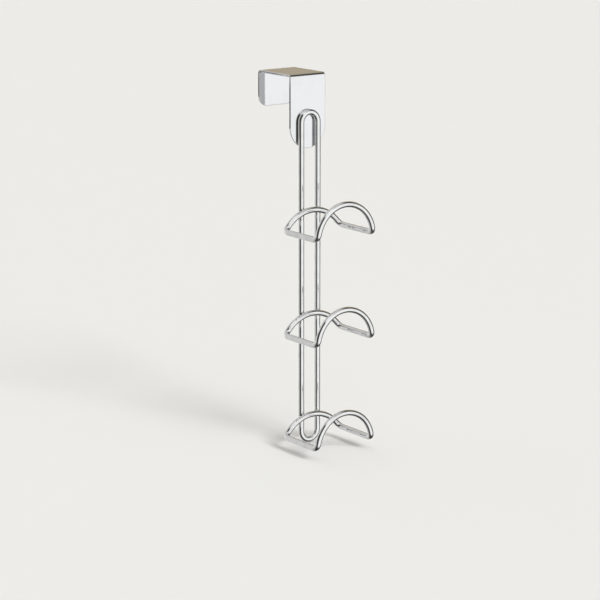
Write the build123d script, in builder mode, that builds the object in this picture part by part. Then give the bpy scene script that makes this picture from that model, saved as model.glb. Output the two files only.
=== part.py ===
from build123d import *
from math import atan2, cos, sin
import os

os.makedirs("parts", exist_ok=True)

# Hanging bracket, folded from one strip of sheet steel
sheet = 2.0            # sheet thickness
strip_width = 35.0     # width of the strip
door_gap = 41.0        # clear channel between the two flanges
front_drop = 58.5      # underside of the top plate down to the round end of the front flange
back_drop = 28.0       # underside of the top plate down to the lower edge of the back flange
back_corner = 8.0      # rounded lower corners of the back flange
fold_radius = 1.0      # inside radius of both folds
edge_round = 0.4       # polished edges of the sheet

# Round wire and its welds
wire = 4.8             # wire diameter
set_down = 0.4         # depth a weld presses a wire into the piece behind it

# Frame wire, one long closed loop
leg_spacing = 16.5     # between the centre lines of the two legs
loop_top = 26.5        # underside of the top plate down to the outer edge of the upper bend
loop_tail = 10.0       # lowest rails down to the outer edge of the lower bend

# Saddle hooks, three alike
rail_spacing = 56.0    # between the centre lines of the two side rails
reach = 44.0           # from the plane of the back arch to that of the front arch
back_rise = 15.0       # back arch above the rails
front_rise = 26.0      # front arch above the rails
bend_radius = 4.8      # centre-line radius of the four tight bends
first_level = 123.5    # underside of the top plate down to the upper hook's rails
tier_pitch = 86.4      # from one hook to the next

# Places that follow from the sizes above
flange_face = -(door_gap / 2 + sheet)
leg_plane = flange_face - wire / 2 + set_down
back_plane = leg_plane - wire + set_down
front_plane = back_plane - reach
loop_radius = leg_spacing / 2
upper_centre = -(loop_top + wire / 2 + loop_radius)
last_level = first_level + 2 * tier_pitch
lower_centre = -(last_level + loop_tail - wire / 2 - loop_radius)


# Where an arch of a given rise meets its tight bend: distance from the middle, height above the rails
def arch_foot(rise):
    half = rail_spacing / 2
    radius = (half**2 + rise**2 - bend_radius**2) / (2 * rise)
    angle = atan2(half, radius - rise) - atan2(bend_radius, radius)
    return radius * sin(angle), rise - radius * (1 - cos(angle))


with BuildPart() as door_bracket:
    # Channel section: front flange, top plate and back flange in one strip
    with BuildSketch(Plane.YZ):
        with BuildLine():
            inner = FilletPolyline(
                (-door_gap / 2, -(front_drop - strip_width / 2)),
                (-door_gap / 2, 0),
                (door_gap / 2, 0),
                (door_gap / 2, -back_drop),
                radius=fold_radius,
            )
            offset(inner, amount=sheet, side=Side.LEFT)
        make_face()
    extrude(amount=strip_width / 2, both=True)
    # Full-round lower end of the front flange
    with BuildSketch(Plane.XZ.offset(door_gap / 2)):
        with Locations((0, -(front_drop - strip_width / 2))):
            Circle(strip_width / 2)
    extrude(amount=sheet)
    # Rounded lower corners of the back flange
    fillet(door_bracket.edges().filter_by(Axis.Y).group_by(Axis.Y)[-1].group_by(Axis.Z)[0], back_corner)
    # Polished edges
    flats = door_bracket.faces().filter_by(Axis.X)
    fillet(flats.edges(), edge_round)
door_bracket.part.label = "door_bracket"
export_step(door_bracket.part, "parts/door_bracket.step")


with BuildPart() as frame_wire:
    # Long narrow loop, bent round at both ends and butt-welded to itself
    with BuildLine(Plane.XZ.offset(-leg_plane)) as loop:
        leg = Line((loop_radius, lower_centre), (loop_radius, upper_centre))
        ThreePointArc(leg @ 1, (0, upper_centre + loop_radius), (-loop_radius, upper_centre))
        Line((-loop_radius, upper_centre), (-loop_radius, lower_centre))
        ThreePointArc((-loop_radius, lower_centre), (0, lower_centre - loop_radius), leg @ 0)
    with BuildSketch(Plane(origin=leg @ 0, z_dir=leg % 0)):
        Circle(wire / 2)
    sweep(path=loop.wires()[0])
    # Flat seat where the loop is welded down on the front flange
    add(door_bracket.part, mode=Mode.SUBTRACT)
frame_wire.part.label = "frame_wire"
export_step(frame_wire.part, "parts/frame_wire.step")


with BuildPart() as saddle:
    # Half of one hook's bent wire: back arch, bend, side rail, bend, front arch
    back_x, back_z = arch_foot(back_rise)
    front_x, front_z = arch_foot(front_rise)
    with BuildLine() as half_hook:
        back = TangentArc((0, back_plane, back_rise), (back_x, back_plane, back_z), tangent=(1, 0, 0))
        rear_bend = TangentArc(back @ 1, (rail_spacing / 2, back_plane - bend_radius, 0), tangent=back % 1)
        rail = Line(rear_bend @ 1, (rail_spacing / 2, front_plane + bend_radius, 0))
        nose_bend = TangentArc(rail @ 1, (front_x, front_plane, front_z), tangent=rail % 1)
        TangentArc(nose_bend @ 1, (0, front_plane, front_rise), tangent=nose_bend % 1)
    with BuildSketch(Plane(origin=back @ 0, z_dir=back % 0)):
        Circle(wire / 2)
    sweep(path=half_hook.wires()[0])
    mirror(about=Plane.YZ)


# The three hooks, from the top down
for tier, name in enumerate(("upper_hook", "middle_hook", "lower_hook")):
    with BuildPart() as hook:
        with Locations((0, 0, -(first_level + tier * tier_pitch))):
            add(saddle.part)
        # Saddle seats where the back arch is welded across the two legs
        add(frame_wire.part, mode=Mode.SUBTRACT)
    hook.part.label = name
    export_step(hook.part, f"parts/{name}.step")
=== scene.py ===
import bpy
import bmesh
import math
from mathutils import Matrix, Vector


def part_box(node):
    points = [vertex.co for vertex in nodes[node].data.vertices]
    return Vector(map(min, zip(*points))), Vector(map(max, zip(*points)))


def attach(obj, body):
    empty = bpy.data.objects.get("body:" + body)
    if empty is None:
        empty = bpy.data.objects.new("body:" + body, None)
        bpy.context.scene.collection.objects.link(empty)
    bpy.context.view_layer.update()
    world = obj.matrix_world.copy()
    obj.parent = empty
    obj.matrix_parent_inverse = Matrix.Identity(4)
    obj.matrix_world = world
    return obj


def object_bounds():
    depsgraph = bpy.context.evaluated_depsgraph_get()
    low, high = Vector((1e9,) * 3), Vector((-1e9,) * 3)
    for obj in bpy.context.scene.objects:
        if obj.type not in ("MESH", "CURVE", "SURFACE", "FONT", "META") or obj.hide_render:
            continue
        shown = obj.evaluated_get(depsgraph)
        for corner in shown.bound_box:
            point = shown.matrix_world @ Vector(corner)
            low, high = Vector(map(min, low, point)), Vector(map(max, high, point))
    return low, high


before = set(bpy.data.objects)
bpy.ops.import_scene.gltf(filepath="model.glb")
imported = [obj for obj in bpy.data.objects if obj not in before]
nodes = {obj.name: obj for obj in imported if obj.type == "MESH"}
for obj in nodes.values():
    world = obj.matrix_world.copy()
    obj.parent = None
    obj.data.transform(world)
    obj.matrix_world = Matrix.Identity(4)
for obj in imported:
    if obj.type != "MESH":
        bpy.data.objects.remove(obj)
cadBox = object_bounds()
scene = bpy.context.scene
print("frame loaded:", ", ".join(sorted(nodes)))


# sRGB hex to the linear colour a shader takes
def linear(hexColour):
    shares = [int(hexColour[i:i + 2], 16) / 255 for i in (1, 3, 5)]
    return tuple(s / 12.92 if s <= 0.04045 else ((s + 0.055) / 1.055) ** 2.4 for s in shares) + (1.0,)


mm = 0.001   # a millimetre in metres, the unit of the frame


# noise scale for features of a real size
def perMetre(sizeMm):
    return 1 / (sizeMm * mm)


# adds one node with its settings, its fixed inputs and its links
def addNode(tree, kind, settings=None, values=None, links=None):
    node = tree.nodes.new(kind)
    for name, value in (settings or {}).items():
        setattr(node, name, value)
    for name, value in (values or {}).items():
        node.inputs[name].default_value = value
    for name, socket in (links or {}).items():
        tree.links.new(socket, node.inputs[name])
    return node


def emptyMaterial(name):
    material = bpy.data.materials.new(name)
    material.use_nodes = True
    material.node_tree.nodes.clear()
    return material


# a finished bmesh becomes an object at the origin, its place in its mesh
def makeObject(bm, name, material):
    mesh = bpy.data.meshes.new(name)
    bm.to_mesh(mesh)
    bm.free()
    mesh.materials.append(material)
    obj = bpy.data.objects.new(name, mesh)
    scene.collection.objects.link(obj)
    return obj


# Bright nickel-chrome plate. The eye gets a cool mirror; its faint waves bend the reflections a little,
# and patches of fine polishing haze soften them here and there.
# "wave" and "peel" are the unevenness under the plate, "haze" the patches of polishing marks, sizes in mm
plateFinishes = {
    # on cold-rolled strip, tumbled before plating: faint lengthwise rolling grain and a soft orange peel.
    # Real grain is about 0.1 mm wide, too fine to show here, so it is drawn coarser.
    "chromePlatedRolledStrip": {
        "colour": "#E5E6E8", "hazeColour": "#E0E1E3", "roughness": (0.03, 0.08), "hazeMm": (22, 30, 30),
        "waveMm": (1.6, 18, 18), "waveDepthMm": 0.0012, "peelMm": 5.0, "peelDepthMm": 0.004},
    # on drawn round wire, straightened and bent cold: the long highlights wander slightly
    "chromePlatedDrawnWire": {
        "colour": "#E6E7E7", "hazeColour": "#DBDCDD", "roughness": (0.025, 0.09), "hazeMm": (9, 9, 9),
        "waveMm": (7, 7, 7), "waveDepthMm": 0.006, "peelMm": 2.5, "peelDepthMm": 0.0012},
    # over the flash of a resistance weld: rippled and duller
    "chromePlatedWeldFlash": {
        "colour": "#DADBDC", "hazeColour": "#C6C7C9", "roughness": (0.09, 0.24), "hazeMm": (1.5, 1.5, 1.5),
        "waveMm": (0.9, 0.9, 0.9), "waveDepthMm": 0.03, "peelMm": 0.5, "peelDepthMm": 0.004},
}
# the noise of the haze, and its values where the haze starts and where it is full
hazeSet = {"detail": 5.0, "roughness": 0.6, "clearBelow": 0.42, "fullAbove": 0.72}


def plateMaterial(name):
    look = plateFinishes[name]
    material = emptyMaterial(name)
    tree = material.node_tree
    place = addNode(tree, "ShaderNodeTexCoord").outputs["Object"]
    hazeSize = addNode(tree, "ShaderNodeMapping",
                       values={"Scale": [perMetre(size) for size in look["hazeMm"]]},
                       links={"Vector": place})
    haze = addNode(tree, "ShaderNodeTexNoise",
                   values={"Scale": 1.0, "Detail": hazeSet["detail"], "Roughness": hazeSet["roughness"]},
                   links={"Vector": hazeSize.outputs["Vector"]})
    patches = addNode(tree, "ShaderNodeMapRange", {"interpolation_type": "SMOOTHSTEP"},
                      {"From Min": hazeSet["clearBelow"], "From Max": hazeSet["fullAbove"]},
                      {"Value": haze.outputs["Fac"]})
    polished, hazy = look["roughness"]
    roughness = addNode(tree, "ShaderNodeMapRange", values={"To Min": polished, "To Max": hazy},
                        links={"Value": patches.outputs["Result"]})
    # inputs 6 and 7 and output 2 are the mix node's colours
    colour = addNode(tree, "ShaderNodeMix", {"data_type": "RGBA"},
                     {6: linear(look["colour"]), 7: linear(look["hazeColour"])},
                     {"Factor": patches.outputs["Result"]})
    waveSize = addNode(tree, "ShaderNodeMapping",
                       values={"Scale": [perMetre(size) for size in look["waveMm"]]},
                       links={"Vector": place})
    wave = addNode(tree, "ShaderNodeTexNoise", values={"Scale": 1.0, "Detail": 1.0},
                   links={"Vector": waveSize.outputs["Vector"]})
    peel = addNode(tree, "ShaderNodeTexNoise", values={"Scale": perMetre(look["peelMm"]), "Detail": 0.0},
                   links={"Vector": place})
    waveBump = addNode(tree, "ShaderNodeBump",
                       values={"Strength": 1.0, "Distance": look["waveDepthMm"] * mm},
                       links={"Height": wave.outputs["Fac"]})
    peelBump = addNode(tree, "ShaderNodeBump",
                       values={"Strength": 1.0, "Distance": look["peelDepthMm"] * mm},
                       links={"Height": peel.outputs["Fac"], "Normal": waveBump.outputs["Normal"]})
    shader = addNode(tree, "ShaderNodeBsdfPrincipled", values={"Metallic": 1.0}, links={
        "Base Color": colour.outputs[2], "Roughness": roughness.outputs["Result"],
        "Normal": peelBump.outputs["Normal"]})
    addNode(tree, "ShaderNodeOutputMaterial", links={"Surface": shader.outputs["BSDF"]})
    return material


stripChrome = plateMaterial("chromePlatedRolledStrip")
wireChrome = plateMaterial("chromePlatedDrawnWire")
weldChrome = plateMaterial("chromePlatedWeldFlash")

# the five CAD pieces keep their meshes and take the finishes
for name, node in nodes.items():
    node.data.materials.clear()
    node.data.materials.append(stripChrome if name == "door_bracket" else wireChrome)
print("finishes on the CAD pieces")


# Flash squeezed out where each hook is resistance-welded across the two legs, lengths in mm.
# The profile is a ring's radius and its place along the weld, from back to front.
weldSet = {
    "hooks": {"upperHookWelds": "upper_hook",
              "middleHookWelds": "middle_hook",
              "lowerHookWelds": "lower_hook"},
    "archHeight": 13.95,   # back arch above the side rails, where it crosses a leg
    "profile": [(2.15, 1.25), (1.75, 0.6), (1.6, 0.0), (1.75, -0.6), (2.15, -1.25)], "steps": 28,
    "ripple": 0.12, "coarseLobes": 3, "fineLobes": 7, "fineShare": 0.6, "seam": 0.001,
}
frameLow, frameHigh = (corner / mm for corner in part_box("frame_wire"))
wireRadius = (frameHigh.y - frameLow.y) / 2
legX = frameHigh.x - wireRadius


def hookWelds(name, hook):
    hookLow, hookHigh = (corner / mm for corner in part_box(hook))
    level = hookLow.z + wireRadius
    seat = (frameLow.y + hookHigh.y) / 2
    middles = {side: Vector((side * legX, seat, level + weldSet["archHeight"])) * mm for side in (-1, 1)}
    bm = bmesh.new()
    for middle in middles.values():
        ring = [bm.verts.new(middle + Vector((radius, along, 0)) * mm)
                for radius, along in weldSet["profile"]]
        chain = [bm.edges.new(pair) for pair in zip(ring, ring[1:])]
        bmesh.ops.spin(bm, geom=ring + chain, cent=middle, axis=(0, 1, 0), angle=math.tau,
                       steps=weldSet["steps"], use_merge=True)
    # uneven rim, different on each weld
    for vert in bm.verts:
        side = -1 if vert.co.x < 0 else 1
        across = vert.co - middles[side]
        across.y = 0
        turn = math.atan2(across.z, across.x)
        coarse = math.sin(weldSet["coarseLobes"] * turn + side + level)
        fine = math.sin(weldSet["fineLobes"] * turn + 2 * level)
        vert.co += across.normalized() * (coarse + weldSet["fineShare"] * fine) * weldSet["ripple"] * mm
    bmesh.ops.remove_doubles(bm, verts=bm.verts, dist=weldSet["seam"] * mm)
    bmesh.ops.recalc_face_normals(bm, faces=bm.faces)
    for face in bm.faces:
        face.smooth = True
    welds = makeObject(bm, name, weldChrome)
    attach(welds, "root")


for name, hook in weldSet["hooks"].items():
    hookWelds(name, hook)
print("welds made")


# Mat pale paint on the floor: no glints, only the rack's soft shadow. Lengths in metres, mottle in mm.
floorSet = {"colour": "#F2F2F0", "roughness": (0.8, 0.9), "specular": 0.1,
            "mottleMm": 900, "mottleDetail": 2.0, "halfSize": 14.0, "clearance": 0.0003}
floorLevel = cadBox[0].z - floorSet["clearance"]
paint = emptyMaterial("matPaleFloorPaint")
tree = paint.node_tree
place = addNode(tree, "ShaderNodeTexCoord").outputs["Object"]
mottle = addNode(tree, "ShaderNodeTexNoise",
                 values={"Scale": perMetre(floorSet["mottleMm"]), "Detail": floorSet["mottleDetail"]},
                 links={"Vector": place})
smooth, rough = floorSet["roughness"]
roughness = addNode(tree, "ShaderNodeMapRange", values={"To Min": smooth, "To Max": rough},
                    links={"Value": mottle.outputs["Fac"]})
shader = addNode(tree, "ShaderNodeBsdfPrincipled",
                 values={"Base Color": linear(floorSet["colour"]),
                         "Specular IOR Level": floorSet["specular"]},
                 links={"Roughness": roughness.outputs["Result"]})
addNode(tree, "ShaderNodeOutputMaterial", links={"Surface": shader.outputs["BSDF"]})
bm = bmesh.new()
bmesh.ops.create_grid(bm, x_segments=2, y_segments=2, size=floorSet["halfSize"],
                      matrix=Matrix.Translation((0, 0, floorLevel)))
floor = makeObject(bm, "studioFloor", paint)
floor.visible_glossy = False   # the rack hangs clear of any floor, so its chrome mirrors the studio alone

# pale paper round the far edge of the floor, for views from low down; only the camera sees it
backdropSet = {"colour": "#EAE9E5", "radius": 13.0, "height": 8.0, "steps": 96}
paper = emptyMaterial("paleBackdropPaper")
tree = paper.node_tree
glow = addNode(tree, "ShaderNodeEmission", values={"Color": linear(backdropSet["colour"])})
addNode(tree, "ShaderNodeOutputMaterial", links={"Surface": glow.outputs["Emission"]})
bm = bmesh.new()
foot = bm.verts.new((backdropSet["radius"], 0, floorLevel))
rim = bm.verts.new((backdropSet["radius"], 0, floorLevel + backdropSet["height"]))
bmesh.ops.spin(bm, geom=[foot, rim, bm.edges.new((foot, rim))], cent=(0, 0, 0), axis=(0, 0, 1),
               angle=math.tau, steps=backdropSet["steps"], use_merge=True)
backdrop = makeObject(bm, "paleBackdrop", paper)
backdrop.visible_diffuse = False
backdrop.visible_glossy = False
backdrop.visible_transmission = False
backdrop.visible_shadow = False

# The studio round the rack: a broad bright front, dark sides, a pale back and a pale ceiling with a lamp.
# A direction is degrees of turn from the front, to the right, and degrees of rise.
# Each band is how far a direction faces the front, from -1 to 1, and the colour of the light from there.
# Each patch is the direction of its middle, the degrees from there at which it ends and at which it is
# full, and its colour.
studioSet = {
    "front": (8.0, 0.0), "strength": 1.08,
    "bands": [(-1.0, "#EBEBEA"), (-0.85, "#D6D5D4"), (-0.6, "#BFBDBB"), (-0.42, "#B0AFAC"),
              (-0.22, "#474541"), (0.5, "#474541"), (0.75, "#FFFFFF"), (1.0, "#FFFFFF")],
    "patches": {
        "warmGreyBehind": ((124.9, 22.1), (29.0, 25.2), "#ABA08C"),
        "darkBehindLeft": ((-145.0, -9.0), (2.35, 1.9), "#2E2C2A"),
        "darkLeft": ((-112.0, 16.0), (15.0, 11.0), "#2E2C2A"),
        "paleCeiling": ((0.0, 90.0), (37.0, 23.0), "#D4D4D2"),
        "ceilingLamp": ((-26.0, 60.0), (17.0, 14.0), "#FFFFFF"),
    },
}


def toward(turn, rise):
    turn, rise = math.radians(turn), math.radians(rise)
    return Vector((math.sin(turn) * math.cos(rise), -math.cos(turn) * math.cos(rise), math.sin(rise)))


world = bpy.data.worlds.new("studioSurround")
scene.world = world
world.use_nodes = True
tree = world.node_tree
tree.nodes.clear()
direction = addNode(tree, "ShaderNodeTexCoord").outputs["Generated"]
facing = addNode(tree, "ShaderNodeVectorMath", {"operation": "DOT_PRODUCT"},
                 {1: toward(*studioSet["front"])}, {0: direction})
share = addNode(tree, "ShaderNodeMapRange", values={"From Min": -1.0},
                links={"Value": facing.outputs["Value"]})
bands = addNode(tree, "ShaderNodeValToRGB", links={"Fac": share.outputs["Result"]})
stops = bands.color_ramp.elements
for index, (reach, light) in enumerate(studioSet["bands"]):
    position = (reach + 1) / 2
    stop = stops[index] if index < 2 else stops.new(position)   # a new ramp has two stops already
    stop.position = position
    stop.color = linear(light)
colour = bands.outputs["Color"]
for middle, reaches, light in studioSet["patches"].values():
    edge, full = (math.cos(math.radians(reach)) for reach in reaches)
    facing = addNode(tree, "ShaderNodeVectorMath", {"operation": "DOT_PRODUCT"},
                     {1: toward(*middle)}, {0: direction})
    share = addNode(tree, "ShaderNodeMapRange", {"interpolation_type": "SMOOTHSTEP"},
                    {"From Min": edge, "From Max": full}, {"Value": facing.outputs["Value"]})
    colour = addNode(tree, "ShaderNodeMix", {"data_type": "RGBA"}, {7: linear(light)},
                     {"Factor": share.outputs["Result"], 6: colour}).outputs[2]
glow = addNode(tree, "ShaderNodeBackground", values={"Strength": studioSet["strength"]},
               links={"Color": colour})
addNode(tree, "ShaderNodeOutputWorld", links={"Surface": glow.outputs["Background"]})

# one broad soft lamp in front, a little to the right, angles in degrees
lampSet = {"from": (7.0, 37.0), "strength": 2.15, "spread": 24}
lamp = bpy.data.lights.new("softLamp", "SUN")
lamp.energy = lampSet["strength"]
lamp.angle = math.radians(lampSet["spread"])
lampObject = bpy.data.objects.new("softLamp", lamp)
lampObject.rotation_euler = toward(*lampSet["from"]).to_track_quat("Z", "Y").to_euler()
lampObject.visible_glossy = False   # its glare would hide the thin dark lines along the wires
scene.collection.objects.link(lampObject)

# camera, left of the front and a little above, on a long lens; places in metres, lens and sensor in mm
viewSet = {"stand": Vector((-1.0253, -1.3954, 0.2151)), "aim": Vector((-0.0106, -0.0259, -0.1830)),
           "lens": 128.06, "sensor": 36.0}
lens = bpy.data.cameras.new("camera")
lens.lens = viewSet["lens"]
lens.sensor_width = viewSet["sensor"]
camera = bpy.data.objects.new("camera", lens)
camera.location = viewSet["stand"]
camera.rotation_euler = (viewSet["aim"] - viewSet["stand"]).to_track_quat("-Z", "Y").to_euler()
scene.collection.objects.link(camera)
scene.camera = camera
scene.view_settings.view_transform = "Standard"
print("stage, light and camera set")

bpy.context.view_layer.update()
